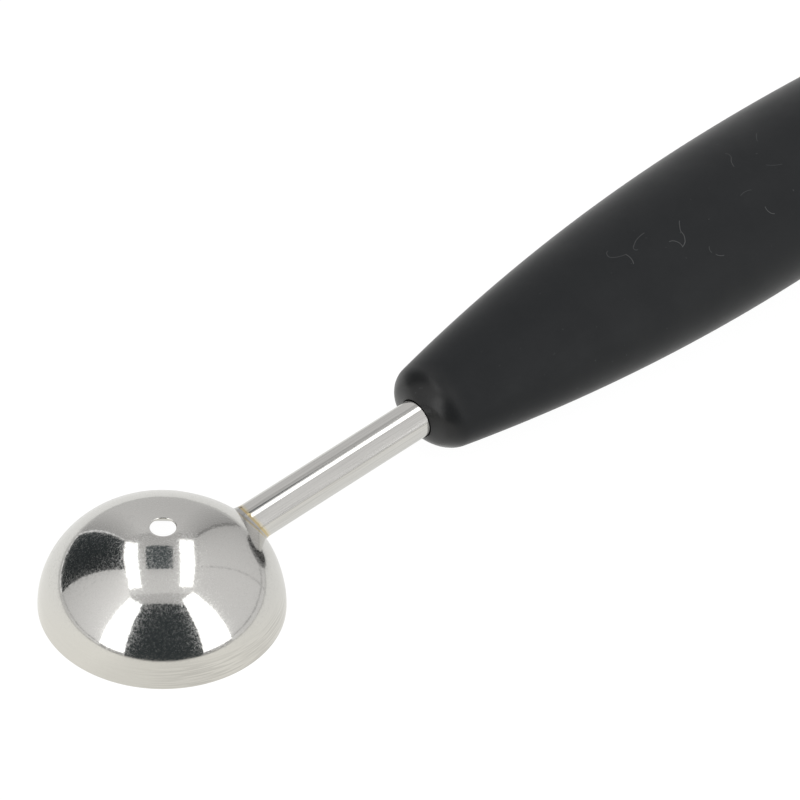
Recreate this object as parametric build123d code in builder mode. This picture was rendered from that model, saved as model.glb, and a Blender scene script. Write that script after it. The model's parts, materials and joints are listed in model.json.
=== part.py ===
from build123d import *

import math
import os

# A melon baller, in millimetres. It lies on a table: the scoop's mouth is flat on the
# table and the belly of the grip just touches it, so the stem climbs a little.

# Scoop bowl, a pressed cup with a ground rim and a vent hole
bowl_radius = 15.0
bowl_height = 12.5
bowl_side_radius = 11.0
bowl_wall = 0.75
rim_land = 0.3
rim_bevel_height = 1.4
vent_radius = 1.6
vent_edge_radius = 0.1

# Stem, a round rod coped to the bowl, with a flattened tang inside the handle
stem_radius = 2.5
stem_seat_height = 3.84
nose_distance = 40.8
tang_length = 56.0
spade_length = 13.0
spade_width = 7.4
spade_thickness = 2.8
spade_taper_length = 7.0
spade_corner_radius = 1.2
spade_eye_radius = 1.3
braze_leg = 0.85
braze_land = 0.05

# Soft grip, an oval spindle: two long flank arcs meet at the belly
grip_length = 112.0
grip_width = 24.5
grip_thickness = 19.0
belly_distance = 58.5
nose_thickness = 9.0
nose_crown = 1.0
nose_lip_radius = 4.2
butt_thickness = 12.0
butt_crown = 1.5
butt_radius = 4.2
stem_entry_gap = 0.15
stem_entry_depth = 2.5

# Handle core, the hard moulding round the tang that the soft grip is moulded over
soft_wall = 1.6
core_front_cover = 8.0
core_rear_cover = 4.0
core_edge_radius = 0.8
key_groove_count = 6
key_groove_pitch = 8.5
key_groove_start = 16.0
key_groove_width = 3.2
key_groove_depth = 0.9
lock_window_count = 3
lock_window_radius = 2.2

# Hanging hole through the butt, lined by an eyelet of the core
hang_hole_radius = 3.0
hang_hole_from_butt = 12.0
eyelet_wall = 1.7
eyelet_edge_radius = 0.5

# How far a cut runs past the faces that it goes through
cut_overrun = 5.0


# Shape of the grip's flanks, seen from the side

half_thickness = grip_thickness / 2
front_rise = (grip_thickness - nose_thickness) / 2
rear_fall = (grip_thickness - butt_thickness) / 2
rear_distance = grip_length - belly_distance
front_arc_radius = (belly_distance**2 + front_rise**2) / (2 * front_rise)
rear_arc_radius = (rear_distance**2 + rear_fall**2) / (2 * rear_fall)


def flank_height(distance, inset):
    """Half thickness at a distance from the nose, of the flank or of one inset from it."""
    radius = front_arc_radius if distance < belly_distance else rear_arc_radius
    from_belly = distance - belly_distance
    return half_thickness - radius + math.sqrt((radius - inset) ** 2 - from_belly**2)


# The stem's pitch, at which the front flank's arc is tangent to the table

belly_along = nose_distance + belly_distance
arc_centre_drop = front_arc_radius - half_thickness
arc_clearance = front_arc_radius - stem_seat_height
pitch = math.asin(arc_clearance / math.hypot(belly_along, arc_centre_drop)) - math.atan2(
    arc_centre_drop, belly_along
)

# The origin is under the middle of the whole length, which gives the bowl's place

butt_corner_height = flank_height(grip_length - butt_crown, 0)
butt_crown_radius = (butt_corner_height**2 + butt_crown**2) / (2 * butt_crown)
reach_from_bowl = (
    (nose_distance + grip_length - butt_crown_radius) * math.cos(pitch) + butt_crown_radius
)
bowl_x = (bowl_radius - reach_from_bowl) / 2

# Planes and axes that the pieces are drawn on

along = Vector(math.cos(pitch), 0, math.sin(pitch))
upward = Vector(-math.sin(pitch), 0, math.cos(pitch))
stem_root = Vector(bowl_x, 0, stem_seat_height)
nose_point = stem_root + along * nose_distance
hang_point = nose_point + along * (grip_length - hang_hole_from_butt)
bowl_axis = Axis((bowl_x, 0, 0), (0, 0, 1))
tool_axis = Axis(stem_root, along)
bowl_side = Plane(origin=(bowl_x, 0, 0), x_dir=(-1, 0, 0), z_dir=(0, 1, 0))
grip_side = Plane(origin=nose_point, x_dir=along, z_dir=(0, -1, 0))
stem_section = Plane(origin=stem_root, x_dir=(0, 1, 0), z_dir=along)
grip_section = Plane(origin=nose_point, x_dir=(0, 1, 0), z_dir=along)
hang_plane = Plane(origin=hang_point, x_dir=along, z_dir=upward)


def spindle(front, rear, inset, front_round, rear_round):
    """Half outline of the grip's form, or of one inset from it, between two distances."""
    front_corner = (front + nose_crown, flank_height(front + nose_crown, inset))
    rear_corner = (rear - butt_crown, flank_height(rear - butt_crown, inset))
    belly = (belly_distance, flank_height(belly_distance, inset))
    front_middle = (front_corner[0] + belly[0]) / 2
    rear_middle = (rear_corner[0] + belly[0]) / 2
    with BuildSketch(grip_side) as outline:
        with BuildLine():
            TangentArc((front, 0), front_corner, tangent=(0, 1))
            ThreePointArc(front_corner, (front_middle, flank_height(front_middle, inset)), belly)
            ThreePointArc(belly, (rear_middle, flank_height(rear_middle, inset)), rear_corner)
            TangentArc((rear, 0), rear_corner, tangent=(0, 1))
            Line((front, 0), (rear, 0))
        make_face()
        fillet(outline.vertices().sort_by(Axis.X)[1], front_round)
        fillet(outline.vertices().sort_by(Axis.X)[-2], rear_round)
    return outline.sketch


# The bowl's section is two arcs that run into each other: a side arc and a wider crown arc

side_arc_inset = bowl_radius - bowl_side_radius
side_arc_drop = bowl_height - bowl_side_radius
bowl_crown_radius = bowl_side_radius + (side_arc_inset**2 + side_arc_drop**2) / (2 * side_arc_drop)
crown_arc_centre = bowl_height - bowl_crown_radius
side_arc_turn = math.degrees(math.atan2(-crown_arc_centre, side_arc_inset))


def half_oval(outset):
    """Half of the bowl's section above its rim, grown by an outset."""
    with BuildSketch() as section:
        with BuildLine():
            side = CenterArc((side_arc_inset, 0), bowl_side_radius + outset, 0, side_arc_turn)
            crown = CenterArc(
                (0, crown_arc_centre), bowl_crown_radius + outset, side_arc_turn, 90 - side_arc_turn
            )
            Polyline(crown @ 1, (0, 0), side @ 0)
        make_face()
    return section.sketch


# Full forms that more than one piece is cut by

bowl_section = half_oval(0)
hollow_section = half_oval(-bowl_wall)
braze_reach_section = half_oval(braze_leg)

with BuildPart() as bowl_form:
    with BuildSketch(bowl_side):
        add(bowl_section)
    revolve(axis=bowl_axis)

with BuildPart() as braze_reach_form:
    with BuildSketch(bowl_side):
        add(braze_reach_section)
    revolve(axis=bowl_axis)

with BuildPart() as grip_form:
    add(spindle(0, grip_length, 0, nose_lip_radius, butt_radius))
    revolve(axis=tool_axis)
    scale(by=(1, grip_width / grip_thickness, 1))


# Scoop bowl: the section of its wall, spun round the bowl's own axis

inner_radius = bowl_radius - bowl_wall
inner_side_radius = bowl_side_radius - bowl_wall
bevel_top_radius = side_arc_inset + math.sqrt(inner_side_radius**2 - rim_bevel_height**2)

with BuildPart() as scoop_bowl:
    with BuildSketch(bowl_side) as wall_section:
        add(bowl_section)
        add(hollow_section, mode=Mode.SUBTRACT)
        with BuildLine():
            rim_land_edge = (bowl_radius - rim_land, 0)
            bevel_top = (bevel_top_radius, rim_bevel_height)
            Polyline(rim_land_edge, bevel_top, (inner_radius - cut_overrun, 0), close=True)
        make_face(mode=Mode.SUBTRACT)
        Rectangle(vent_radius, bowl_height, align=(Align.MIN, Align.MIN), mode=Mode.SUBTRACT)
        fillet(wall_section.vertices().sort_by(Axis.Y)[-1], vent_edge_radius)
    revolve(axis=bowl_axis)
scoop_bowl.part.label = "scoop_bowl"


# Stem with its coped front end and its flattened tang

spade_end = nose_distance + tang_length
spade_start = spade_end - spade_length
rod_end = spade_start - spade_taper_length
spade_eye_distance = spade_end - spade_length / 2

with BuildPart() as stem:
    with BuildSketch(stem_section.offset(bowl_radius / 2)):
        Circle(stem_radius)
    extrude(amount=rod_end - bowl_radius / 2)
    with BuildSketch(stem_section.offset(rod_end)):
        Circle(stem_radius)
    with BuildSketch(stem_section.offset(spade_start)):
        RectangleRounded(spade_width, spade_thickness, spade_corner_radius)
    loft()
    with BuildSketch(stem_section.offset(spade_start)):
        RectangleRounded(spade_width, spade_thickness, spade_corner_radius)
    extrude(amount=spade_length)
    with Locations(Plane(origin=stem_root + along * spade_eye_distance, z_dir=upward)):
        Hole(spade_eye_radius)
    add(bowl_form.part, mode=Mode.SUBTRACT)
stem.part.label = "stem"


# Braze, the small bead of filler metal in the corner between the bowl and the stem

with BuildPart() as braze_bead:
    with BuildSketch(stem_section.offset(bowl_radius / 2)):
        Circle(stem_radius + braze_leg)
    extrude(amount=bowl_radius)
    add(braze_reach_form.part, mode=Mode.INTERSECT)
    bead_corner = braze_bead.edges().filter_by(GeomType.BSPLINE).sort_by(Axis.X)[-1]
    chamfer(bead_corner, braze_leg - braze_land)
    with BuildSketch(stem_section.offset(bowl_radius / 2)):
        Circle(stem_radius)
    extrude(amount=bowl_radius, mode=Mode.SUBTRACT)
    add(bowl_form.part, mode=Mode.SUBTRACT)
braze_bead.part.label = "braze_bead"


# Handle core: an inset spindle with key grooves, lock windows and the hanging eyelet

core_half_width = grip_width / 2 - soft_wall
core_half_thickness = grip_thickness / 2 - soft_wall
core_width_ratio = core_half_width / core_half_thickness
core_rear = grip_length - core_rear_cover
hang_distance = grip_length - hang_hole_from_butt
lock_window_pitch = (hang_distance - tang_length) / (lock_window_count + 1)

with BuildPart() as handle_core:
    add(spindle(core_front_cover, core_rear, soft_wall, core_edge_radius, core_edge_radius))
    revolve(axis=tool_axis)
    scale(by=(1, core_width_ratio, 1))
    for groove in range(key_groove_count):
        groove_front = key_groove_start + groove * key_groove_pitch
        core_height = flank_height(groove_front + key_groove_width / 2, soft_wall)
        floor_height = core_height - key_groove_depth
        with BuildSketch(grip_section.offset(groove_front)):
            Rectangle(grip_width, grip_thickness)
            Ellipse(floor_height * core_width_ratio, floor_height, mode=Mode.SUBTRACT)
        extrude(amount=key_groove_width, mode=Mode.SUBTRACT)
    for window in range(lock_window_count):
        window_distance = tang_length + (window + 1) * lock_window_pitch
        with Locations(Plane(origin=nose_point + along * window_distance, z_dir=upward)):
            Hole(lock_window_radius)
    with BuildSketch(hang_plane):
        Circle(hang_hole_radius + eyelet_wall)
    extrude(amount=grip_thickness, both=True)
    add(grip_form.part, mode=Mode.INTERSECT)
    add(stem.part, mode=Mode.SUBTRACT)
    with Locations(hang_plane):
        Hole(hang_hole_radius)
    hole_mouths = handle_core.edges(Select.LAST).filter_by(GeomType.BSPLINE)
    fillet(hole_mouths, eyelet_edge_radius)
handle_core.part.label = "handle_core"


# Soft grip, moulded over the core and open round the stem by a thin gap

with BuildPart() as soft_grip:
    add(grip_form.part)
    with Locations(hang_plane):
        Hole(hang_hole_radius + eyelet_wall)
    add(handle_core.part, mode=Mode.SUBTRACT)
    with BuildSketch(grip_section):
        Circle(stem_radius + stem_entry_gap)
    extrude(amount=stem_entry_depth, both=True, mode=Mode.SUBTRACT)
    add(stem.part, mode=Mode.SUBTRACT)
soft_grip.part.label = "soft_grip"


os.makedirs("parts", exist_ok=True)
for piece in (scoop_bowl, braze_bead, stem, handle_core, soft_grip):
    export_step(piece.part, f"parts/{piece.part.label}.step")
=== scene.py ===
import json
import math
import random

import bmesh
import bpy
from mathutils import Matrix, Vector
from mathutils.bvhtree import BVHTree
from mathutils.geometry import intersect_sphere_sphere_2d


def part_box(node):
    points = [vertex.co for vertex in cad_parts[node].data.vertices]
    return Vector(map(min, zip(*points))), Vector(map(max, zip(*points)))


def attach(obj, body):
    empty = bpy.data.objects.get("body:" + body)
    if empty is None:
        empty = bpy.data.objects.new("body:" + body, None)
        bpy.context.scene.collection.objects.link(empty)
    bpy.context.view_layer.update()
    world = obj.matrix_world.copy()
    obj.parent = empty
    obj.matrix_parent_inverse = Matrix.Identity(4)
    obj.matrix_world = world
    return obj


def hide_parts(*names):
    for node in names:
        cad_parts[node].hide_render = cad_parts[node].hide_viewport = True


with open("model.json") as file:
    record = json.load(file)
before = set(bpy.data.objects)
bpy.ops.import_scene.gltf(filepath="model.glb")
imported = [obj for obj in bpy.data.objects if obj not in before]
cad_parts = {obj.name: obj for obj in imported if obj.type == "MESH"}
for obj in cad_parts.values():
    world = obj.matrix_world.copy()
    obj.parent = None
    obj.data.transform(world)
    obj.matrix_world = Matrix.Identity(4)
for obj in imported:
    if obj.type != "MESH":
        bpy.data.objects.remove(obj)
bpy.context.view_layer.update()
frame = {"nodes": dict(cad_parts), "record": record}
scene = bpy.context.scene
MM = 0.001

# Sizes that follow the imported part, in metres

bowl_low, bowl_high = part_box("scoop_bowl")
bowl_radius = (bowl_high.x - bowl_low.x) / 2
bowl_height = bowl_high.z
bowl_centre = Vector((bowl_low.x + bowl_radius, 0, 0))
bowl_wall = 0.75 * MM
rim_land = 0.3 * MM
rim_bevel_height = 1.4 * MM
vent_radius = 1.6 * MM
vent_edge_radius = 0.1 * MM
vent_land = 0.12 * MM
vent_flare = 0.7 * MM
swell_height = 0.32 * MM
swell_reach = 9.0 * MM
swell_foot = 3.0 * MM

stem_radius = 2.5 * MM
tang_length = 56.0 * MM
spade_taper_length = 7.0 * MM
spade_length = 13.0 * MM
spade_width = 7.4 * MM
spade_thickness = 2.8 * MM
spade_squareness = 0.35
spade_eye_radius = 1.3 * MM
plain_rod_start = 20.0 * MM
braze_reach = 0.35 * MM
braze_edge = 14.7 * MM
braze_edge_rise = 0.492
braze_edge_turn = 0.097

grip_length = 112.0 * MM
grip_width = 24.5 * MM
grip_thickness = 19.0 * MM
belly_distance = 58.5 * MM
nose_thickness = 9.0 * MM
nose_crown = 1.0 * MM
nose_lip_radius = 4.2 * MM
butt_thickness = 12.0 * MM
butt_crown = 1.5 * MM
butt_radius = 4.2 * MM
stem_entry_gap = 0.15 * MM
stem_entry_depth = 2.5 * MM
round_mouth_reach = 1.2 * MM
soft_wall = 1.6 * MM
core_front_cover = 8.0 * MM
core_rear_cover = 4.0 * MM
key_groove_count = 6
key_groove_pitch = 8.5 * MM
key_groove_start = 16.0 * MM
key_groove_width = 3.2 * MM
key_groove_depth = 0.9 * MM
hang_hole_radius = 3.0 * MM
hang_hole_from_butt = 12.0 * MM
eyelet_wall = 1.7 * MM

# The hanging hole's mount gives the line that the stem and the grip lie on

hang_mount = next(m for m in frame["record"]["mounts"] if m["name"] == "hang_hole")
hang_point = Vector(hang_mount["pos_m"])
upward = Vector(hang_mount["axis"]).normalized()
along = Vector((upward.z, 0, -upward.x))
sideways = Vector((0, 1, 0))
nose_point = hang_point - along * (grip_length - hang_hole_from_butt)
stem_root = Vector((bowl_centre.x, 0, 0))
stem_root.z = nose_point.z - along.z / along.x * (nose_point.x - bowl_centre.x)


# Camera, standing where the photograph was taken from

camera_distance = 700.0 * MM
camera_elevation = math.radians(40.8078)
camera_azimuth = math.radians(-133.9603)
camera_roll = math.radians(2.6381)
aim_right = 28.644 * MM
aim_up = 24.4242 * MM
pixels_per_metre = 8305.1
image_pixels = 800
sensor_width = 36.0
nearest_seen = 0.05
farthest_seen = 20.0


def look():
    """Directions of the picture's right and up, and from the object to the camera."""
    level = math.cos(camera_elevation)
    back = Vector((level * math.cos(camera_azimuth), level * math.sin(camera_azimuth), 0))
    back.z = math.sin(camera_elevation)
    flat_right = Vector((0, 0, 1)).cross(back).normalized()
    flat_up = back.cross(flat_right)
    right = flat_right * math.cos(camera_roll) + flat_up * math.sin(camera_roll)
    up = flat_up * math.cos(camera_roll) - flat_right * math.sin(camera_roll)
    return right, up, back


picture_right, picture_up, to_camera = look()
camera_place = (
    bowl_centre + to_camera * camera_distance + picture_right * aim_right + picture_up * aim_up
)


def make_camera():
    data = bpy.data.cameras.new("camera")
    camera = bpy.data.objects.new("camera", data)
    scene.collection.objects.link(camera)
    data.sensor_width = sensor_width
    data.lens = pixels_per_metre * camera_distance * sensor_width / image_pixels
    data.clip_start = nearest_seen
    data.clip_end = farthest_seen
    turned = Matrix((picture_right, picture_up, to_camera)).transposed().to_4x4()
    camera.matrix_world = Matrix.Translation(camera_place) @ turned
    scene.camera = camera


def pixel_ray(pixel):
    """Direction from the camera through a pixel of the photograph."""
    half = image_pixels / 2
    reach = pixels_per_metre * camera_distance
    across = picture_right * (pixel[0] - half) / reach
    down = picture_up * (pixel[1] - half) / reach
    return (across - down - to_camera).normalized()


# Shader building

def new_material(name):
    material = bpy.data.materials.new(name)
    material.use_nodes = True
    tree = material.node_tree
    return material, tree, tree.nodes["Principled BSDF"]


def feed(tree, socket, value):
    """Sets a socket's own value, or links it to another node's output."""
    if isinstance(value, bpy.types.NodeSocket):
        tree.links.new(value, socket)
    else:
        socket.default_value = value


def math_node(tree, operation, *values, clamp=False):
    made = tree.nodes.new("ShaderNodeMath")
    made.operation = operation
    made.use_clamp = clamp
    for socket, value in zip(made.inputs, values):
        feed(tree, socket, value)
    return made.outputs[0]


def vector_node(tree, operation, *values, out="Vector"):
    made = tree.nodes.new("ShaderNodeVectorMath")
    made.operation = operation
    for socket, value in zip(made.inputs, values):
        feed(tree, socket, value)
    return made.outputs[out]


def ease(tree, value, low, high, out_low, out_high):
    """Smooth step of a value between two limits."""
    made = tree.nodes.new("ShaderNodeMapRange")
    made.interpolation_type = "SMOOTHSTEP"
    limits = (value, low, high, out_low, out_high)
    for socket, limit in zip(made.inputs, limits):
        feed(tree, socket, limit)
    return made.outputs[0]


def object_place(tree):
    return tree.nodes.new("ShaderNodeTexCoord").outputs["Object"]


def pattern_place(tree, feature_sizes, centre, turn):
    """Object coordinates counted in features, from a centre, turned about Y."""
    made = tree.nodes.new("ShaderNodeMapping")
    made.vector_type = "TEXTURE"
    made.inputs["Location"].default_value = centre
    made.inputs["Rotation"].default_value = (0, turn, 0)
    made.inputs["Scale"].default_value = feature_sizes
    feed(tree, made.inputs["Vector"], object_place(tree))
    return made.outputs[0]


def noise(tree, feature_sizes, centre, detail=1.0, roughness=0.5, turn=0.0, out=0):
    """Noise with features of the given sizes: output 0 is its height, output 1 its colour."""
    made = tree.nodes.new("ShaderNodeTexNoise")
    feed(tree, made.inputs["Vector"], pattern_place(tree, feature_sizes, centre, turn))
    made.inputs["Scale"].default_value = 1.0
    made.inputs["Detail"].default_value = detail
    made.inputs["Roughness"].default_value = roughness
    return made.outputs[out]


def colour_mix(tree, share, first, second):
    made = tree.nodes.new("ShaderNodeMix")
    made.data_type = "RGBA"
    feed(tree, made.inputs[0], share)
    feed(tree, made.inputs[6], first)
    feed(tree, made.inputs[7], second)
    return made.outputs[2]


def bump(tree, height, depth, below=None):
    """Normal of a relief whose full height is a depth in metres."""
    made = tree.nodes.new("ShaderNodeBump")
    made.inputs["Strength"].default_value = 1.0
    made.inputs["Distance"].default_value = depth
    feed(tree, made.inputs["Height"], height)
    if below is not None:
        feed(tree, made.inputs["Normal"], below)
    return made.outputs[0]


# Finishes. Each easing holds a lower and an upper limit, and what it gives at each.

steel_tint = (0.70, 0.692, 0.672, 1)
scratch_tint = (0.60, 0.592, 0.575, 1)
braze_gold = (0.62, 0.51, 0.30, 1)
braze_silver = (0.50, 0.495, 0.48, 1)
braze_burnt = (0.07, 0.04, 0.02, 1)
heat_straw = (0.74, 0.64, 0.40, 1)
rubber_black = (0.0016, 0.0030, 0.0048, 1)
# Lighter colour of the grip round the nose: a painted highlight, not a colour the rubber has
nose_painted_highlight = (0.014, 0.0145, 0.015, 1)
lint_grey = (0.075, 0.078, 0.08, 1)
core_black = (0.011, 0.011, 0.012, 1)
core_pale = (0.0187, 0.0187, 0.0204, 1)
stem_pitch = math.atan2(along.z, along.x)


def past_braze(tree):
    """Distance along the rod past the slanting outer edge of the braze, in metres."""
    slant = along + upward * braze_edge_rise - sideways * braze_edge_turn
    from_root = vector_node(tree, "SUBTRACT", object_place(tree), tuple(stem_root))
    run = vector_node(tree, "DOT_PRODUCT", from_root, tuple(slant), out="Value")
    return math_node(tree, "SUBTRACT", run, braze_edge)


# Polished cup: pits and patches all over, and turning lines round the rim's nearer side

pit_sizes = (0.055 * MM,) * 3
pit_share = 0.7
patch_sizes = (0.3 * MM,) * 3
turning_line_sizes = (5 * MM, 5 * MM, 0.16 * MM)
polished_relief = 0.003 * MM
patches_by_height = (3.6 * MM, 8.5 * MM, 0.25, 1.0)
turning_by_height = (2.2 * MM, 4.2 * MM, 1.0, 0.05)
pitting_by_height = (3.0 * MM, 5.5 * MM, 0.45, 1.0)
turning_heading = math.radians(-75)
turning_by_side = (4 * MM, 12 * MM, 0.15, 1.0)
pit_roughness = (0.45, 0.66, 0.04, 0.31)
pit_wear = (0.45, 0.65, 0.0, 0.4)
line_wear = (0.42, 0.58, 0.0, 1.0)


def polished_steel():
    """Pressed and tumbled cup: mirror bright between fine pits, with turning lines at the rim."""
    material, tree, shader = new_material("polished_steel")
    shader.inputs["Metallic"].default_value = 1.0
    pits = noise(tree, pit_sizes, bowl_centre)
    patches = noise(tree, patch_sizes, bowl_centre)
    lines = noise(tree, turning_line_sizes, bowl_centre)
    split = tree.nodes.new("ShaderNodeSeparateXYZ")
    feed(tree, split.inputs[0], object_place(tree))
    height = split.outputs[2]
    patchy = ease(tree, height, *patches_by_height)
    turned = ease(tree, height, *turning_by_height)
    pitting = ease(tree, height, *pitting_by_height)
    relief = bump(tree, math_node(tree, "MULTIPLY", patches, patchy), polished_relief)
    relief = bump(tree, math_node(tree, "MULTIPLY", lines, turned), polished_relief, relief)
    feed(tree, shader.inputs["Normal"], relief)
    pitted = math_node(tree, "MULTIPLY", pits, pit_share)
    pitted = math_node(tree, "MULTIPLY_ADD", patches, 1 - pit_share, pitted)
    rough = math_node(tree, "MULTIPLY", ease(tree, pitted, *pit_roughness), pitting)
    feed(tree, shader.inputs["Roughness"], rough)
    towards = (math.cos(turning_heading), math.sin(turning_heading), 0)
    from_centre = vector_node(tree, "SUBTRACT", object_place(tree), tuple(bowl_centre))
    side = vector_node(tree, "DOT_PRODUCT", from_centre, towards, out="Value")
    line_worn = math_node(tree, "MULTIPLY", ease(tree, lines, *line_wear), turned)
    line_worn = math_node(tree, "MULTIPLY", line_worn, ease(tree, side, *turning_by_side))
    pit_worn = math_node(tree, "MULTIPLY", ease(tree, pitted, *pit_wear), pitting)
    worn = math_node(tree, "MAXIMUM", pit_worn, line_worn)
    feed(tree, shader.inputs["Base Color"], colour_mix(tree, worn, steel_tint, scratch_tint))
    return material


# Drawn rod: hairlines and broader scratches along it. The lean is the slope along the rod, as
# if it were ground a little thinner towards the bowl.

hair_sizes = (9 * MM, 0.1 * MM, 0.1 * MM)
scratch_sizes = (30 * MM, 0.4 * MM, 0.4 * MM)
drawn_relief = 0.0016 * MM
drawn_roughness = (0.3, 0.7, 0.06, 0.13)
hair_wear = (0.45, 0.7, 0.0, 1.0)
rod_lean = 0.037
heat_past_braze = (0.02 * MM, 0.5 * MM, 0.55, 0.0)


def satin_steel():
    """Drawn rod: lengthwise scratches, straw coloured where the braze heated it."""
    material, tree, shader = new_material("satin_steel")
    shader.inputs["Metallic"].default_value = 1.0
    hairs = noise(tree, hair_sizes, nose_point, 2.0, 0.6, turn=-stem_pitch)
    drawn = noise(tree, scratch_sizes, nose_point, turn=-stem_pitch)
    lean = vector_node(tree, "DOT_PRODUCT", object_place(tree), tuple(along), out="Value")
    relief = bump(tree, lean, rod_lean)
    relief = bump(tree, hairs, drawn_relief, relief)
    relief = bump(tree, drawn, drawn_relief, relief)
    feed(tree, shader.inputs["Normal"], relief)
    feed(tree, shader.inputs["Roughness"], ease(tree, drawn, *drawn_roughness))
    metal = colour_mix(tree, ease(tree, hairs, *hair_wear), steel_tint, scratch_tint)
    heated = ease(tree, past_braze(tree), *heat_past_braze)
    feed(tree, shader.inputs["Base Color"], colour_mix(tree, heated, metal, heat_straw))
    return material


# Braze: lumpy, golden along its outer line, and burnt near the top

braze_lump_sizes = (0.5 * MM,) * 3
braze_relief = 0.008 * MM
braze_roughness = (0.4, 0.7, 0.1, 0.25)
gold_by_distance = (-0.42 * MM, -0.27 * MM, 0.0, 1.0)
burn_lift_from_top = (0.3 * MM, 1.4 * MM, 0.2, -0.15)
lump_burn = (0.56, 0.66, 0.0, 0.9)


def braze_metal():
    """Silvery filler with a golden outer line, burnt brown in places."""
    material, tree, shader = new_material("braze_metal")
    shader.inputs["Metallic"].default_value = 1.0
    lumps = noise(tree, braze_lump_sizes, bowl_centre, 3.0, 0.6)
    golden = ease(tree, past_braze(tree), *gold_by_distance)
    metal = colour_mix(tree, golden, braze_silver, braze_gold)
    from_top = vector_node(tree, "DISTANCE", object_place(tree), tuple(burnt_point()), out="Value")
    burn_lift = ease(tree, from_top, *burn_lift_from_top)
    burnt = ease(tree, math_node(tree, "ADD", lumps, burn_lift), *lump_burn)
    feed(tree, shader.inputs["Base Color"], colour_mix(tree, burnt, metal, braze_burnt))
    feed(tree, shader.inputs["Roughness"], ease(tree, lumps, *braze_roughness))
    feed(tree, shader.inputs["Normal"], bump(tree, lumps, braze_relief))
    return material


def burnt_point():
    """The place on the rod's upper outline, at the braze's edge, where the filler is burnt."""
    spoke = picture_up - along * picture_up.dot(along)
    spoke.normalize()
    lift = braze_edge_rise * spoke.dot(upward) - braze_edge_turn * spoke.dot(sideways)
    return stem_root + along * (braze_edge - stem_radius * lift) + spoke * stem_radius


core_grain_sizes = (0.35 * MM,) * 3
core_relief = 0.004 * MM
core_roughness = (0.3, 0.7, 0.3, 0.42)


def hard_plastic():
    """Core moulding: hard, even, a little glossier than the grip."""
    material, tree, shader = new_material("hard_plastic")
    grain = noise(tree, core_grain_sizes, hang_point, 3.0, 0.6)
    feed(tree, shader.inputs["Base Color"], colour_mix(tree, grain, core_black, core_pale))
    feed(tree, shader.inputs["Roughness"], ease(tree, grain, *core_roughness))
    feed(tree, shader.inputs["Normal"], bump(tree, grain, core_relief))
    return material


# Lint on the grip, in pixels of the photograph: start, middle and end of each bent fibre,
# and how bright it is

lint_fibres = (
    ((679.4, 220.7), (679.6, 226.0), (680.9, 231.4), 0.8),
    ((680.9, 231.4), (684.9, 238.4), (682.5, 246.7), 1.0),
    ((682.5, 246.7), (677.8, 242.0), (669.4, 241.4), 0.9),
    ((644.2, 233.0), (637.0, 239.4), (633.5, 246.7), 0.7),
    ((633.5, 246.7), (634.4, 249.4), (637.3, 249.8), 0.6),
    ((607.5, 251.3), (608.2, 256.2), (612.8, 257.5), 0.6),
    ((612.8, 257.5), (619.2, 256.6), (625.8, 254.4), 0.5),
    ((625.8, 254.4), (630.8, 258.2), (633.5, 263.6), 0.9),
    ((725.3, 153.4), (729.3, 154.8), (731.4, 158.0), 0.5),
    ((731.4, 158.0), (731.5, 162.2), (734.0, 166.5), 0.7),
    ((765.1, 207.0), (768.8, 211.8), (774.3, 213.8), 0.9),
    ((709.2, 246.7), (709.7, 250.2), (711.5, 252.4), 0.5),
    ((716.0, 254.2), (720.0, 255.6), (724.0, 255.2), 0.7),
    ((766.6, 165.0), (774.0, 165.3), (782.0, 164.1), 0.4),
    ((740.6, 195.5), (745.0, 191.7), (751.3, 190.1), 0.4),
    ((756.7, 133.5), (756.3, 137.2), (757.5, 141.1), 0.5),
)
fibre_half_width = 0.028 * MM
fibre_edge = 0.03 * MM


def arc_centre(first, second, third):
    """Centre of the circle through three points."""
    a = first - third
    b = second - third
    cross = a.cross(b)
    offset = (b * a.length_squared - a * b.length_squared).cross(cross)
    return third + offset / (2 * cross.length_squared)


def fibre_mask(tree, place, points):
    """1 on the line where a sphere through three points on the skin cuts it, else 0."""
    first, second, third = points
    centre = arc_centre(first, second, third)
    radius = (first - centre).length
    reach = (first - third).length / 2
    middle = (first + third) / 2
    from_centre = vector_node(tree, "DISTANCE", place, tuple(centre), out="Value")
    off_line = math_node(tree, "ABSOLUTE", math_node(tree, "SUBTRACT", from_centre, radius))
    on_line = ease(tree, off_line, fibre_half_width, fibre_half_width + fibre_edge, 1.0, 0.0)
    from_middle = vector_node(tree, "DISTANCE", place, tuple(middle), out="Value")
    in_reach = ease(tree, from_middle, reach, reach + 2 * fibre_edge, 1.0, 0.0)
    return math_node(tree, "MULTIPLY", on_line, in_reach)


rubber_grain_sizes = (0.12 * MM,) * 3
rubber_relief = 0.006 * MM
mottle_sizes = (5 * MM,) * 3
mottle_roughness = (0.3, 0.7, -0.03, 0.03)
wobble_sizes = (0.9 * MM,) * 3
wobble_reach = (0.12 * MM,) * 3
speck_sizes = (0.5 * MM,) * 3
speck_brightness = (0.775, 0.82, 0.0, 0.4)
# The nose's mask makes the grip glossier from rubbing and paints a highlight there
rub_and_highlight_from_nose = (4.5 * MM, 8 * MM, 1.0, 0.0)
rub_roughness = (0.0, 1.0, 0.56, 0.29)
rubber_specular = 0.38
rubber_sheen = 0.46
rubber_sheen_roughness = 0.33


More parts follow.
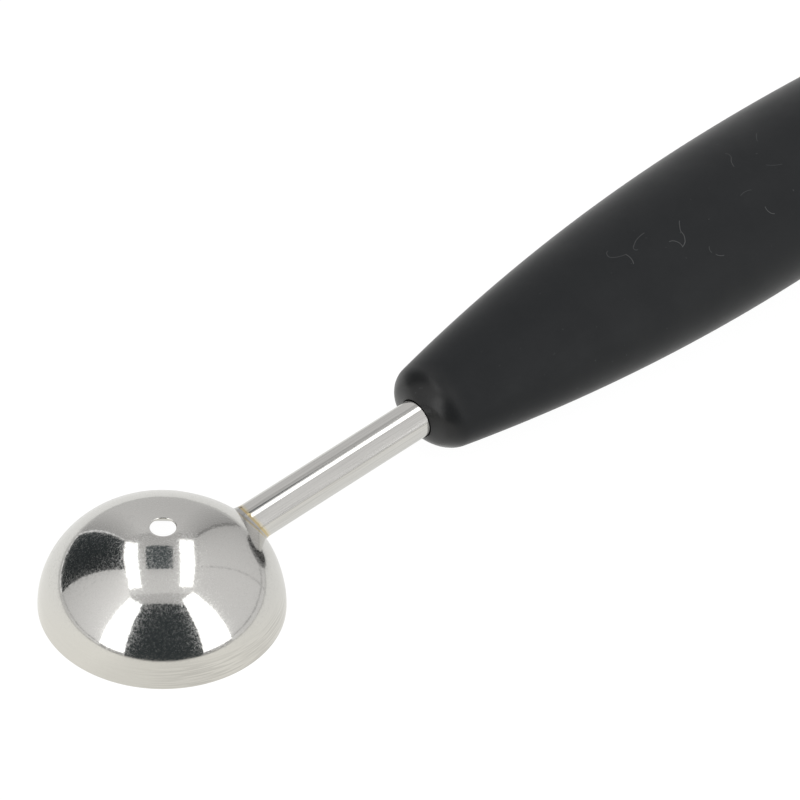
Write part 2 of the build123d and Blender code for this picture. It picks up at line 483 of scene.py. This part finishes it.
def soft_rubber(skin):
    """Matte elastomer with a fine grain, specks and lint, glossier from rubbing round the nose,
    with a painted highlight there.
    """
    material, tree, shader = new_material("soft_rubber")
    place = object_place(tree)
    grain = noise(tree, rubber_grain_sizes, nose_point, 2.0, 0.6)
    mottle = noise(tree, mottle_sizes, nose_point, 3.0, 0.6)
    wobble = noise(tree, wobble_sizes, nose_point, 2.0, out=1)
    shift = vector_node(tree, "SUBTRACT", wobble, (0.5, 0.5, 0.5))
    shift = vector_node(tree, "MULTIPLY", shift, wobble_reach)
    wobbly = vector_node(tree, "ADD", place, shift)
    dust = 0.0
    for *pixels, brightness in lint_fibres:
        points = [on_skin(skin, p) for p in pixels]
        mask = math_node(tree, "MULTIPLY", fibre_mask(tree, wobbly, points), brightness)
        dust = math_node(tree, "MAXIMUM", dust, mask)
    specks = ease(tree, noise(tree, speck_sizes, nose_point), *speck_brightness)
    dust = math_node(tree, "MAXIMUM", dust, specks)
    from_nose = vector_node(tree, "DISTANCE", place, tuple(nose_point), out="Value")
    # Round the nose: glossier from rubbing, and lighter in colour as a painted highlight
    rubbed_and_highlight = ease(tree, from_nose, *rub_and_highlight_from_nose)
    rubber = colour_mix(tree, rubbed_and_highlight, rubber_black, nose_painted_highlight)
    feed(tree, shader.inputs["Base Color"], colour_mix(tree, dust, rubber, lint_grey))
    rough = ease(tree, rubbed_and_highlight, *rub_roughness)
    uneven = ease(tree, mottle, *mottle_roughness)
    feed(tree, shader.inputs["Roughness"], math_node(tree, "ADD", rough, uneven))
    shader.inputs["Specular IOR Level"].default_value = rubber_specular
    shader.inputs["Sheen Weight"].default_value = rubber_sheen
    shader.inputs["Sheen Roughness"].default_value = rubber_sheen_roughness
    feed(tree, shader.inputs["Normal"], bump(tree, grain, rubber_relief))
    return material


# Mesh building

weld_distance = 0.0005 * MM
crease_degrees = 35
drill_sides = 96


def chain(bm, points):
    """An open run of edges through points."""
    verts = [bm.verts.new(p) for p in points]
    edges = [bm.edges.new(pair) for pair in zip(verts, verts[1:])]
    return verts, edges


def loop(bm, points):
    """A closed run of edges through points."""
    verts, edges = chain(bm, points)
    edges.append(bm.edges.new((verts[-1], verts[0])))
    return edges


def spin_round(bm, geometry, centre, axis, steps):
    bmesh.ops.spin(
        bm, geom=geometry, cent=centre, axis=axis, angle=2 * math.pi, steps=steps, use_merge=True
    )
    bmesh.ops.remove_doubles(bm, verts=bm.verts, dist=weld_distance)
    bmesh.ops.recalc_face_normals(bm, faces=bm.faces)


def piece_from(bm, name, material, sharp_degrees=crease_degrees):
    mesh = bpy.data.meshes.new(name)
    bm.to_mesh(mesh)
    bm.free()
    mesh.shade_smooth()
    mesh.set_sharp_from_angle(angle=math.radians(sharp_degrees))
    mesh.materials.append(material)
    made = bpy.data.objects.new(name, mesh)
    scene.collection.objects.link(made)
    return made


def dress(piece, node):
    """The piece moves with the one body and stands for a CAD node, which it hides."""
    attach(piece, "root")
    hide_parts(node)


def drill(piece, point, axis, radius):
    """Cuts a round hole right through a piece."""
    bm = bmesh.new()
    bmesh.ops.create_cone(
        bm,
        cap_ends=True,
        segments=drill_sides,
        radius1=radius,
        radius2=radius,
        depth=2 * grip_width,
    )
    turned = Vector((0, 0, 1)).rotation_difference(axis).to_matrix().to_4x4()
    bmesh.ops.transform(bm, matrix=Matrix.Translation(point) @ turned, verts=bm.verts)
    bit = piece_from(bm, "drill_bit", piece.data.materials[0])
    cut = piece.modifiers.new("hole", "BOOLEAN")
    cut.operation = "DIFFERENCE"
    cut.solver = "EXACT"
    cut.object = bit
    bpy.context.view_layer.update()
    evaluated = piece.evaluated_get(bpy.context.evaluated_depsgraph_get())
    drilled = bpy.data.meshes.new_from_object(evaluated)
    piece.modifiers.clear()
    piece.data = drilled
    bpy.data.objects.remove(bit)
    drilled.shade_smooth()
    drilled.set_sharp_from_angle(angle=math.radians(crease_degrees))


def arc(centre, radius, start, end, steps):
    """Points of an arc in the plane of an outline, its start left out."""
    turns = [start + (end - start) * k / steps for k in range(1, steps + 1)]
    return [
        (centre[0] + radius * math.cos(t), centre[1] + radius * math.sin(t)) for t in turns
    ]


# Scoop bowl

bowl_spin_steps = 288
bowl_skin_steps = 96
vent_edge_steps = 6


def oval_point(radius, height, angle):
    return radius * math.cos(angle), height * math.sin(angle)


def scoop_bowl():
    """Elliptical cup with a ground lip and a flared vent, swollen a little by the joint."""
    inner_radius = bowl_radius - bowl_wall
    inner_height = bowl_height - bowl_wall
    vent_top = math.acos((vent_radius + vent_edge_radius) / bowl_radius)
    outline = [
        oval_point(bowl_radius, bowl_height, vent_top * k / bowl_skin_steps)
        for k in range(bowl_skin_steps + 1)
    ]
    edge_low = outline[-1][1] - vent_edge_radius
    edge_centre = (vent_radius + vent_edge_radius, edge_low)
    outline += arc(edge_centre, vent_edge_radius, math.pi / 2, math.pi, vent_edge_steps)
    outline.append((vent_radius, edge_low - vent_land))
    vent_foot = math.acos((vent_radius + vent_flare) / inner_radius)
    bevel_top = math.asin(rim_bevel_height / inner_height)
    inner_steps = bowl_skin_steps // 2
    outline += [
        oval_point(
            inner_radius,
            inner_height,
            vent_foot + (bevel_top - vent_foot) * k / inner_steps,
        )
        for k in range(inner_steps + 1)
    ]
    outline.append((bowl_radius - rim_land, 0))
    bm = bmesh.new()
    edges = loop(bm, [(bowl_centre.x + r, 0, z) for r, z in outline])
    spin_round(bm, list(bm.verts) + edges, bowl_centre, (0, 0, 1), bowl_spin_steps)
    joint = rod_point(bowl_skin_distance(0, 0), 0, 0)
    for vert in bm.verts:
        nearness = max(0, 1 - ((vert.co - joint).length / swell_reach) ** 2) ** 2
        off_table = min(1, vert.co.z / swell_foot)
        vert.co += along * swell_height * nearness * off_table
    piece = piece_from(bm, "polished_bowl", finish["polished_steel"])
    dress(piece, "scoop_bowl")


# Stem

rod_sides = 96
tang_end = (nose_point - stem_root).length + tang_length
spade_start = tang_end - spade_length
rod_end = spade_start - spade_taper_length


def rod_point(distance, across, over):
    return stem_root + along * distance + sideways * across + upward * over


def bowl_skin_distance(across, over):
    """Distance along the stem at which a line beside its middle meets the bowl's skin."""
    start = rod_point(0, across, over) - bowl_centre
    squash = Vector((1 / bowl_radius, 1 / bowl_radius, 1 / bowl_height))
    p = start * squash
    d = along * squash
    b = p.dot(d)
    return (-b + math.sqrt(b * b - d.dot(d) * (p.dot(p) - 1))) / d.dot(d)


def rod_ring(radius=stem_radius):
    turns = [2 * math.pi * k / rod_sides for k in range(rod_sides)]
    return [(radius * math.cos(t), radius * math.sin(t)) for t in turns]


def spade_ring():
    """The rod's ring squared off to the flat tang's section."""
    ring = []
    for across, over in rod_ring(1.0):
        wide = math.copysign(abs(across) ** spade_squareness, across)
        high = math.copysign(abs(over) ** spade_squareness, over)
        ring.append((wide * spade_width / 2, high * spade_thickness / 2))
    return ring


def stem():
    """Rod whose front end follows the bowl's skin and whose rear end is a pierced flat tang."""
    bm = bmesh.new()
    ring = rod_ring()
    flat = spade_ring()
    edges = loop(bm, [rod_point(bowl_skin_distance(a, o), a, o) for a, o in ring])
    sections = [(plain_rod_start, ring), (rod_end, ring), (spade_start, flat), (tang_end, flat)]
    for distance, section in sections:
        swept = bmesh.ops.extrude_edge_only(bm, edges=edges)["geom"]
        moved = [g for g in swept if isinstance(g, bmesh.types.BMVert)]
        edges = [g for g in swept if isinstance(g, bmesh.types.BMEdge)]
        for vert, (across, over) in zip(moved, section):
            vert.co = rod_point(distance, across, over)
    bmesh.ops.holes_fill(bm, edges=bm.edges, sides=0)
    bmesh.ops.recalc_face_normals(bm, faces=bm.faces)
    piece = piece_from(bm, "satin_stem", finish["satin_steel"])
    drill(piece, rod_point(tang_end - spade_length / 2, 0, 0), upward, spade_eye_radius)
    dress(piece, "stem")


# Braze bead

braze_seed = 7
braze_sides = 2 * rod_sides
wave_counts = range(4, 24)
wave_sizes = (0.3, 1)
wave_divisor = 5
ripple_depth = 0.07 * MM
least_leg = 0.35 * MM
reach_share = 0.8
reach_ripple_share = 0.18
waist_share = 0.4
braze_sink = 0.05 * MM
braze_crease_degrees = 60


def braze_bead():
    """An uneven fillet in the corner between the rod and the bowl."""
    rng = random.Random(braze_seed)
    waves = [(n, rng.uniform(0, 2 * math.pi), rng.uniform(*wave_sizes)) for n in wave_counts]
    corner, on_rod, middle, on_bowl = [], [], [], []
    for k in range(braze_sides):
        turn = 2 * math.pi * k / braze_sides
        across, over = stem_radius * math.cos(turn), stem_radius * math.sin(turn)
        skin_distance = bowl_skin_distance(across, over)
        foot = rod_point(skin_distance, across, over)
        skin = foot - bowl_centre
        facing = Vector((skin.x / bowl_radius**2, skin.y / bowl_radius**2, skin.z / bowl_height**2))
        facing.normalize()
        spoke = sideways * math.cos(turn) + upward * math.sin(turn)
        outward = (spoke - facing * spoke.dot(facing)).normalized()
        ripple = sum(size * math.sin(n * turn + phase) for n, phase, size in waves)
        ripple = max(-1, min(1, ripple / wave_divisor))
        slant = braze_edge_rise * over - braze_edge_turn * across
        leg = max(least_leg, braze_edge - slant - skin_distance + ripple_depth * ripple)
        reach = braze_reach * (reach_share - reach_ripple_share * ripple)
        corner.append(foot - (facing + spoke) * braze_sink)
        on_rod.append(foot + along * leg)
        middle.append(foot + (along * leg + outward * reach) * waist_share)
        on_bowl.append(foot + outward * reach)
    bm = bmesh.new()
    loops = [loop(bm, points) for points in (corner, on_rod, middle, on_bowl)]
    for first, second in zip(loops, loops[1:] + loops[:1]):
        bmesh.ops.bridge_loops(bm, edges=first + second)
    bmesh.ops.recalc_face_normals(bm, faces=bm.faces)
    piece = piece_from(bm, "braze_fillet", finish["braze_metal"], braze_crease_degrees)
    dress(piece, "braze_bead")


# Soft grip

front_rise = (grip_thickness - nose_thickness) / 2
rear_fall = (grip_thickness - butt_thickness) / 2
front_arc_radius = (belly_distance**2 + front_rise**2) / (2 * front_rise)
rear_arc_radius = ((grip_length - belly_distance) ** 2 + rear_fall**2) / (2 * rear_fall)
front_arc_centre = (belly_distance, grip_thickness / 2 - front_arc_radius)
rear_arc_centre = (belly_distance, grip_thickness / 2 - rear_arc_radius)
width_ratio = grip_width / grip_thickness
grip_sides = 160
lip_steps = 18
flank_steps = 44
crown_steps = 8
core_flank_steps = 6


def flank_height(distance, inset=0):
    """Half thickness at a distance from the nose, of the flank or of one inset from it."""
    centre = front_arc_centre if distance < belly_distance else rear_arc_centre
    radius = front_arc_radius if distance < belly_distance else rear_arc_radius
    return centre[1] + math.sqrt((radius - inset) ** 2 - (distance - belly_distance) ** 2)


def heading(centre, point):
    return math.atan2(point[1] - centre[1], point[0] - centre[0])


def rounded_corner(crown_centre, crown_radius, flank_centre, flank_radius, radius):
    """Centre and end directions of the arc that rounds a crown arc into a flank arc."""
    hits = intersect_sphere_sphere_2d(
        Vector(crown_centre), crown_radius - radius, Vector(flank_centre), flank_radius - radius
    )
    middle = max(hits, key=lambda p: abs(p[0] - grip_length / 2))
    start = heading(crown_centre, middle)
    end = heading(flank_centre, middle)
    return middle, start, end


def grip_outline():
    """Half outline from the stem's entry, round the nose and along the flanks, to the butt."""
    crown_corner = flank_height(nose_crown)
    crown_radius = (crown_corner**2 + nose_crown**2) / (2 * nose_crown)
    crown_centre = (crown_radius, 0)
    lip, _, lip_end = rounded_corner(
        crown_centre, crown_radius, front_arc_centre, front_arc_radius, nose_lip_radius
    )
    bore = stem_radius + stem_entry_gap
    mouth = math.pi - math.asin((bore - lip[1]) / nose_lip_radius)
    points = [(lip[0] + nose_lip_radius * math.cos(mouth), bore)]
    points += arc(lip, nose_lip_radius, mouth, lip_end, lip_steps)
    points += arc(front_arc_centre, front_arc_radius, lip_end, math.pi / 2, flank_steps)
    butt_corner = flank_height(grip_length - butt_crown)
    butt_crown_radius = (butt_corner**2 + butt_crown**2) / (2 * butt_crown)
    butt_centre = (grip_length - butt_crown_radius, 0)
    turn, turn_end, turn_start = rounded_corner(
        butt_centre, butt_crown_radius, rear_arc_centre, rear_arc_radius, butt_radius
    )
    points += arc(rear_arc_centre, rear_arc_radius, math.pi / 2, turn_start, flank_steps)
    points += arc(turn, butt_radius, turn_start, turn_end, lip_steps)
    points += arc(butt_centre, butt_crown_radius, turn_end, 0, crown_steps)
    return points


def cavity_outline():
    """Half outline of the hollow that the core fills, its key ribs included."""
    rear = grip_length - core_rear_cover
    last_rib = key_groove_start + key_groove_count * key_groove_pitch
    points = [(rear, 0)]
    for step in range(core_flank_steps):
        distance = rear + (last_rib - rear) * step / core_flank_steps
        points.append((distance, flank_height(distance, soft_wall)))
    for groove in reversed(range(key_groove_count)):
        front = key_groove_start + groove * key_groove_pitch
        back = front + key_groove_width
        floor = flank_height(front + key_groove_width / 2, soft_wall) - key_groove_depth
        points += [(back, flank_height(back, soft_wall)), (back, floor)]
        points += [(front, floor), (front, flank_height(front, soft_wall))]
    points.append((core_front_cover, flank_height(core_front_cover, soft_wall)))
    return points


def soft_grip():
    """Moulding spun from its outline, then widened to an oval, except round the stem's entry."""
    bore = stem_radius + stem_entry_gap
    entry = [
        (core_front_cover, stem_radius),
        (stem_entry_depth, stem_radius),
        (stem_entry_depth, bore),
    ]
    outline = cavity_outline() + entry + grip_outline()
    bm = bmesh.new()
    verts, edges = chain(bm, [nose_point + along * x + upward * y for x, y in outline])
    spin_round(bm, verts + edges, nose_point, along, grip_sides)
    for vert in bm.verts:
        arm = vert.co - nose_point
        reach = math.hypot(arm.dot(sideways), arm.dot(upward))
        widen = min(1, max(0, (reach - bore) / round_mouth_reach))
        vert.co.y *= 1 + (width_ratio - 1) * widen * widen * (3 - 2 * widen)
    piece = piece_from(bm, "moulded_grip", None)
    drill(piece, hang_point, upward, hang_hole_radius + eyelet_wall)
    return piece


def on_skin(skin, pixel):
    """Point of the grip's skin that a pixel of the photograph shows."""
    return skin.ray_cast(camera_place, pixel_ray(pixel))[0]


# Studio: a pale floor, and a light box whose walls and lamps only light and reflect

box_heading = math.radians(51.38)
lamp_white = (1.0, 1.0, 0.995, 1)
wall_white = (1.0, 0.992, 0.985, 1)
dark_felt = (0.8, 0.95, 1.0, 1)


def box_directions():
    """Ahead, left and up in the light box."""
    ahead = Vector((math.cos(box_heading), math.sin(box_heading), 0))
    return ahead, Vector((-ahead.y, ahead.x, 0)), Vector((0, 0, 1))


def glowing(name, tint, radiance, slopes):
    """Glow of a radiance at the bowl's own place, changing by slopes per metre."""
    material = bpy.data.materials.new(name)
    material.use_nodes = True
    tree = material.node_tree
    tree.nodes.clear()
    glow = tree.nodes.new("ShaderNodeEmission")
    glow.inputs["Color"].default_value = tint
    direction = sum((d * s for d, s in zip(box_directions(), slopes)), Vector())
    from_bowl = vector_node(tree, "SUBTRACT", object_place(tree), tuple(bowl_centre))
    change = vector_node(tree, "DOT_PRODUCT", from_bowl, tuple(direction), out="Value")
    feed(tree, glow.inputs["Strength"], math_node(tree, "ADD", change, radiance))
    out = tree.nodes.new("ShaderNodeOutputMaterial")
    tree.links.new(glow.outputs[0], out.inputs["Surface"])
    return material


def card(name, corners, tint, radiance, slopes=(0, 0, 0)):
    """A flat glowing panel that the camera doesn't see."""
    bm = bmesh.new()
    bm.faces.new([bm.verts.new(c) for c in corners])
    panel = piece_from(bm, name, glowing(name, tint, radiance, slopes))
    panel.visible_camera = False
    panel.visible_shadow = False


def box_point(ahead, left, height):
    """A place in the light box, from the bowl, in metres."""
    forward, leftward, up = box_directions()
    return bowl_centre + forward * ahead + leftward * left + up * height


def wall(name, start, end, heights, tint, radiance, slopes=(0, 0, 0)):
    """An upright panel between two places on the box's floor plan."""
    low, high = heights
    corners = [
        box_point(*start, low),
        box_point(*end, low),
        box_point(*end, high),
        box_point(*start, high),
    ]
    card(name, corners, tint, radiance, slopes)


def ceiling(name, corners, height, tint, radiance, slopes=(0, 0, 0)):
    """A level panel whose corners are given as distances ahead and to the left."""
    card(name, [box_point(*c, height) for c in corners], tint, radiance, slopes)


def polar_place(azimuth_degrees, distance):
    """A place on the floor plan at an azimuth of the row frame, as ahead and left."""
    turn = math.radians(azimuth_degrees) - box_heading
    return distance * math.cos(turn), distance * math.sin(turn)


# Plan of the light box, in metres ahead and to the left of the bowl

top = 2.0
near_ceiling = ((-0.6, -1.0), (1.8, -1.0), (1.8, 1.0), (-0.6, 1.0))
rear_ceiling = ((-2.2, -1.0), (-0.6, -1.0), (-0.6, 1.0), (-2.2, 1.0))
left_tube = ((-0.36, 0.574), (1.31, 0.574), (1.56, 0.94), (1.2, 0.974), (-0.36, 0.974))
right_tube = ((-0.36, -0.448), (1.40, -0.448), (1.50, -0.848), (-0.36, -0.848))
bridge = ((0.22, 0.385), (0.19, -0.265), (1.03, -0.28), (1.075, 0.36))
left_softbox = (174.38, -162.42)
right_softbox = (-95.12, -68.1)
dark_room = (-162.22, -95.32)
lamp_radiance = 2.2

# Level panels: name, plan, height, tint, radiance and its slopes ahead, leftward and upward

ceiling_panels = (
    ("near_ceiling", near_ceiling, top, wall_white, 0.71, (-0.13, 0, 0)),
    ("rear_ceiling", rear_ceiling, top, wall_white, 0.58),
    ("left_tube", left_tube, top - 0.01, lamp_white, lamp_radiance),
    ("right_tube", right_tube, top - 0.01, lamp_white, lamp_radiance),
    ("dark_bridge", bridge, top - 0.012, dark_felt, 0.095),
)

# Upright panels: name, start, end, lowest and highest height, tint, radiance and its slopes

wall_panels = (
    ("back_wall", (1.8, 0.45), (1.8, -0.45), (0, top), wall_white, 0.605, (0, 0.06, 0.04)),
    ("back_left", (1.8, 1.0), (1.8, 0.45), (0, top), wall_white, 0.834, (0, -0.45, 0.04)),
    ("back_right", (1.8, -0.45), (1.8, -1.0), (0, top), wall_white, 0.78, (0, 0.45, 0.04)),
    ("door_wall", (1.8, -1.0), (0.4, -1.0), (0, top), wall_white, 0.775, (-0.14, 0, 0.03)),
    ("right_wall", (0.4, -1.0), (-0.6, -1.0), (0, top), wall_white, 0.765, (-0.04, 0, 0)),
    ("open_door", (1.7, 1.0), (0.384, 1.0), (0.04, top), dark_felt, 0.02, (0.015, 0, 0)),
    ("left_wall", (0.384, 1.0), (-0.9, 1.0), (0, top), wall_white, 0.72, (-0.3, 0, 0.1)),
    ("corner_seam", (1.79, -0.93), (1.79, -1.0), (0, top), wall_white, 0.25),
    ("corner_seam_side", (1.79, -0.99), (1.74, -0.99), (0, top), wall_white, 0.25),
    ("door_seam", (0.42, -0.99), (0.385, -0.99), (0, top), wall_white, 0.55),
    ("right_sill", (1.8, -0.98), (-0.6, -0.98), (0.07, 0.105), wall_white, 0.5),
    ("left_sill", (0.384, 0.98), (-0.9, 0.98), (0.03, 0.06), wall_white, 0.5),
)

# Panels round the near side: name, azimuths of both ends in degrees, distance, lowest and
# highest height, tint and radiance

round_panels = (
    ("left_softbox", left_softbox, 1.02, (0.04, 1.65), lamp_white, lamp_radiance),
    ("right_softbox", right_softbox, 1.02, (0.05, 2.05), lamp_white, lamp_radiance),
    ("left_skirt", left_softbox, 1.01, (0, 0.04), wall_white, 0.4),
    ("right_skirt", right_softbox, 1.01, (0, 0.05), wall_white, 0.4),
    ("dark_room", dark_room, 1.2, (0, 1.98), dark_felt, 0.045),
)


def light_box():
    for panel in ceiling_panels:
        ceiling(*panel)
    for panel in wall_panels:
        wall(*panel)
    for name, azimuths, distance, *looks in round_panels:
        start, end = [polar_place(azimuth, distance) for azimuth in azimuths]
        wall(name, start, end, *looks)


floor_seen = (0.97, 0.97, 0.97, 1)
# Tints of the painted light that the floor shows in reflections: cool behind the bowl, warm in
# front
floor_cool = (0.985, 0.985, 0.965, 1)
floor_warm = (1.0, 0.982, 0.915, 1)
floor_paint = (0.8, 0.795, 0.78, 1)
floor_shade = (0.1, 0.1, 0.1, 1)
floor_half_side = 4.0
# Painted pool of light on the floor in reflections: strongest near the bowl, lifted on one side for
# the left softbox's light and the bowl's caustic
floor_painted_light_side = math.radians(170)
painted_light_side_lift = 0.04
near_level_by_frontness = (0.75, 1.0, 0.84, 0.75)
far_level_by_frontness = (0.3, 0.85, 0.51, 0.33)
nearness_by_distance = (0.11, 0.2, 1.0, 0.0)
warmth_by_frontness = (-0.9, 0.9, 0.0, 1.0)
world_white = (1, 1, 1, 1)
world_strength_if_seen = (0.0, 1.0, 0.75, 1.0)


def floor_glow(tree):
    """Strength and tint of the floor in reflections: a painted pool of light about the bowl, lifted
    on one side and warmer in front, dim far away.
    """
    from_bowl = vector_node(tree, "SUBTRACT", object_place(tree), tuple(bowl_centre))
    distance = vector_node(tree, "LENGTH", from_bowl, out="Value")
    outward = vector_node(tree, "NORMALIZE", from_bowl)
    front = (math.cos(camera_azimuth), math.sin(camera_azimuth), 0)
    frontness = vector_node(tree, "DOT_PRODUCT", outward, front, out="Value")
    painted_light_direction = (math.cos(floor_painted_light_side), math.sin(floor_painted_light_side), 0)
    sideness = vector_node(tree, "DOT_PRODUCT", outward, painted_light_direction, out="Value")
    near_level = ease(tree, frontness, *near_level_by_frontness)
    near_level = math_node(tree, "MULTIPLY_ADD", sideness, painted_light_side_lift, near_level)
    far_level = ease(tree, frontness, *far_level_by_frontness)
    nearness = ease(tree, distance, *nearness_by_distance)
    change = math_node(tree, "SUBTRACT", near_level, far_level)
    strength = math_node(tree, "MULTIPLY_ADD", change, nearness, far_level)
    tint = colour_mix(tree, ease(tree, frontness, *warmth_by_frontness), floor_cool, floor_warm)
    return strength, tint


def white_floor():
    """White for the camera, a painted pool of light in reflections, and still darker where the
    object shades it.
    """
    material = bpy.data.materials.new("white_floor")
    material.use_nodes = True
    tree = material.node_tree
    tree.nodes.clear()
    seen = light_seen(tree)
    paint = tree.nodes.new("ShaderNodeBsdfDiffuse")
    paint.inputs["Color"].default_value = floor_paint
    shade = tree.nodes.new("ShaderNodeBsdfDiffuse")
    shade.inputs["Color"].default_value = floor_shade
    glow = tree.nodes.new("ShaderNodeEmission")
    camera_ray = tree.nodes.new("ShaderNodeLightPath").outputs["Is Camera Ray"]
    strength, tint = floor_glow(tree)
    tree.links.new(colour_mix(tree, camera_ray, tint, floor_seen), glow.inputs["Color"])
    lift = math_node(tree, "MULTIPLY", math_node(tree, "SUBTRACT", 1.0, strength), camera_ray)
    tree.links.new(math_node(tree, "ADD", strength, lift), glow.inputs["Strength"])
    both = tree.nodes.new("ShaderNodeAddShader")
    tree.links.new(glow.outputs[0], both.inputs[0])
    tree.links.new(shade.outputs[0], both.inputs[1])
    mix = tree.nodes.new("ShaderNodeMixShader")
    tree.links.new(seen, mix.inputs[0])
    tree.links.new(paint.outputs[0], mix.inputs[1])
    tree.links.new(both.outputs[0], mix.inputs[2])
    clear = tree.nodes.new("ShaderNodeBsdfTransparent")
    side = tree.nodes.new("ShaderNodeMixShader")
    tree.links.new(tree.nodes.new("ShaderNodeNewGeometry").outputs["Backfacing"], side.inputs[0])
    tree.links.new(mix.outputs[0], side.inputs[1])
    tree.links.new(clear.outputs[0], side.inputs[2])
    out = tree.nodes.new("ShaderNodeOutputMaterial")
    tree.links.new(side.outputs[0], out.inputs["Surface"])
    return material


def light_seen(tree):
    """1 for rays from the camera and for reflected and refracted ones, 0 for scattered light."""
    path = tree.nodes.new("ShaderNodeLightPath")
    seen = math_node(tree, "MAXIMUM", path.outputs["Is Camera Ray"], path.outputs["Is Glossy Ray"])
    return math_node(tree, "MAXIMUM", seen, path.outputs["Is Transmission Ray"])


def make_floor():
    bm = bmesh.new()
    bmesh.ops.create_grid(bm, x_segments=1, y_segments=1, size=floor_half_side)
    floor = piece_from(bm, "floor", white_floor())


def make_world():
    world = bpy.data.worlds.new("studio")
    scene.world = world
    world.use_nodes = True
    tree = world.node_tree
    back = tree.nodes["Background"]
    back.inputs["Color"].default_value = world_white
    strength = ease(tree, light_seen(tree), *world_strength_if_seen)
    tree.links.new(strength, back.inputs["Strength"])


# Putting it together

finish = {
    "polished_steel": polished_steel(),
    "satin_steel": satin_steel(),
    "braze_metal": braze_metal(),
    "hard_plastic": hard_plastic(),
}

make_camera()
scoop_bowl()
stem()
braze_bead()

grip = soft_grip()
skin_shape = bmesh.new()
skin_shape.from_mesh(grip.data)
grip.data.materials.clear()
grip.data.materials.append(soft_rubber(BVHTree.FromBMesh(skin_shape)))
skin_shape.free()
dress(grip, "soft_grip")

core = frame["nodes"]["handle_core"]
core.data.materials.clear()
core.data.materials.append(finish["hard_plastic"])

light_box()
make_floor()
make_world()
scene.view_settings.view_transform = "Standard"
